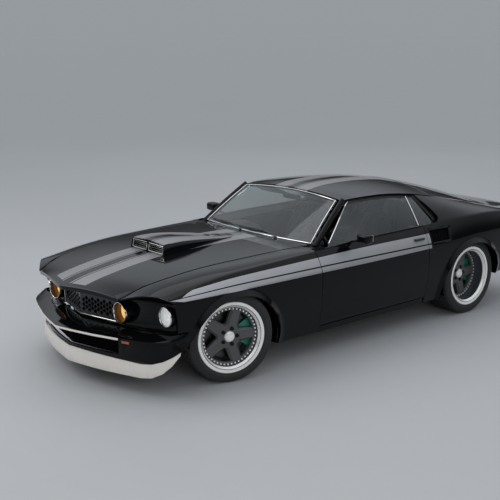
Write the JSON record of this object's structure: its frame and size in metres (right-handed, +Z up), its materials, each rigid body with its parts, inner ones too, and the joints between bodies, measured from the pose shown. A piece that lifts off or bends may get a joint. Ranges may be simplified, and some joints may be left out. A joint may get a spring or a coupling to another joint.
{
  "type": "muscle car",
  "caption": "Low two-door fastback muscle car with opening doors, hood and trunk lid, a hood scoop, flared arches, a chin spoiler and wide spoked wheels that steer and roll.",
  "frame": {"origin": "on the ground under the middle of the car", "axes": "+X forward, +Y to the car's left, +Z up"},
  "size_m": [4.76, 2.012, 1.2202],
  "materials": {
    "body_paint": "gloss",
    "structure": "satin",
    "trim_black": "gloss",
    "chin_aluminium": "satin",
    "lamp_clear": "polished",
    "lamp_amber": "gloss",
    "lamp_red": "gloss",
    "glass": "clear",
    "cast_iron": "satin",
    "calipers": "gloss",
    "exhaust_steel": "satin",
    "seat_leather": "satin",
    "cabin_plastic": "matte",
    "tyre_rubber": "matte",
    "wheel_grey": "satin",
    "brake_steel": "satin"
  },
  "bodies": {
    "body": {"floor_pan": "structure", "front_structure": "structure", "sills": "structure", "hinge_posts": "structure", "rear_structure": "structure", "fender_left": "body_paint", "fender_right": "body_paint", "quarter_left": "body_paint", "quarter_right": "body_paint", "roof": "body_paint", "cowl": "body_paint", "tail_panel": "body_paint", "deck_strip": "body_paint", "front_panel": "trim_black", "grille": "trim_black", "headlamps": "lamp_clear", "amber_lamps": "lamp_amber", "front_bumper": "trim_black", "front_valance": "trim_black", "chin_spoiler": "chin_aluminium", "rear_bumper": "trim_black", "tail_lamps": "lamp_red", "windscreen": "glass", "rear_glass": "glass", "quarter_glass": "glass", "engine": "cast_iron", "front_suspension": "cast_iron", "rear_axle": "cast_iron", "rear_calipers": "calipers", "exhaust": "exhaust_steel", "fuel_tank": "exhaust_steel", "front_seats": "seat_leather", "rear_seat": "seat_leather", "dashboard": "cabin_plastic"},
    "door_left": {"door_left": "body_paint", "door_glass_left": "glass", "mirror_left": "trim_black"},
    "door_right": {"door_right": "body_paint", "door_glass_right": "glass", "mirror_right": "trim_black"},
    "hood": {"hood": "body_paint", "hood_scoop": "body_paint"},
    "trunk_lid": {"trunk_lid": "body_paint"},
    "steering_wheel": {"steering_wheel": "cabin_plastic"},
    "knuckle_left": {"knuckle_left": "cast_iron", "caliper_left": "calipers"},
    "knuckle_right": {"knuckle_right": "cast_iron", "caliper_right": "calipers"},
    "wheel_fl": {"tyre_fl": "tyre_rubber", "wheel_fl": "wheel_grey", "disc_fl": "brake_steel"},
    "wheel_fr": {"tyre_fr": "tyre_rubber", "wheel_fr": "wheel_grey", "disc_fr": "brake_steel"},
    "wheel_rl": {"tyre_rl": "tyre_rubber", "wheel_rl": "wheel_grey", "disc_rl": "brake_steel"},
    "wheel_rr": {"tyre_rr": "tyre_rubber", "wheel_rr": "wheel_grey", "disc_rr": "brake_steel"}
  },
  "joints": [
    {"name": "steer_left", "type": "hinge", "parent": "body", "child": "knuckle_left", "pos_m": [1.398, 0.68, 0.339], "axis": [0, 0, 1], "range_deg": [-14, 42]},
    {"name": "steer_right", "type": "hinge", "parent": "body", "child": "knuckle_right", "pos_m": [1.398, -0.68, 0.339], "axis": [0, 0, 1], "range_deg": [-14, 42]},
    {"name": "steering_wheel_turn", "type": "hinge", "parent": "body", "child": "steering_wheel", "pos_m": [0.1501, 0.375, 0.76409], "axis": [-0.9511, 0, 0.309], "range_deg": [-196, 588]},
    {"name": "wheel_fl_spin", "type": "hinge", "parent": "knuckle_left", "child": "wheel_fl", "pos_m": [1.41251, 0.73822, 0.339], "axis": [0.2419, 0.9703, 0], "continuous": true},
    {"name": "wheel_fr_spin", "type": "hinge", "parent": "knuckle_right", "child": "wheel_fr", "pos_m": [1.38349, -0.73822, 0.339], "axis": [0.2419, 0.9703, 0], "continuous": true},
    {"name": "wheel_rl_spin", "type": "hinge", "parent": "body", "child": "wheel_rl", "pos_m": [-1.323, 0.738, 0.343], "axis": [0, 1, 0], "continuous": true},
    {"name": "wheel_rr_spin", "type": "hinge", "parent": "body", "child": "wheel_rr", "pos_m": [-1.323, -0.738, 0.343], "axis": [0, 1, 0], "continuous": true},
    {"name": "door_left_swing", "type": "hinge", "parent": "body", "child": "door_left", "pos_m": [0.64, 0.845, 0.5], "axis": [0, 0, -1], "range_deg": [0, 65]},
    {"name": "door_right_swing", "type": "hinge", "parent": "body", "child": "door_right", "pos_m": [0.64, -0.845, 0.5], "axis": [0, 0, 1], "range_deg": [0, 65]},
    {"name": "hood_lift", "type": "hinge", "parent": "body", "child": "hood", "pos_m": [0.53, 0, 0.81563], "axis": [0, -1, 0], "range_deg": [0, 55]},
    {"name": "trunk_lift", "type": "hinge", "parent": "body", "child": "trunk_lid", "pos_m": [-1.873, 0, 0.83413], "axis": [0, 1, 0], "range_deg": [0, 60]}
  ],
  "couplings": [
    {"joint": "steer_right", "follows": "steer_left", "ratio": 1},
    {"joint": "steering_wheel_turn", "follows": "steer_left", "ratio": 14}
  ]
}
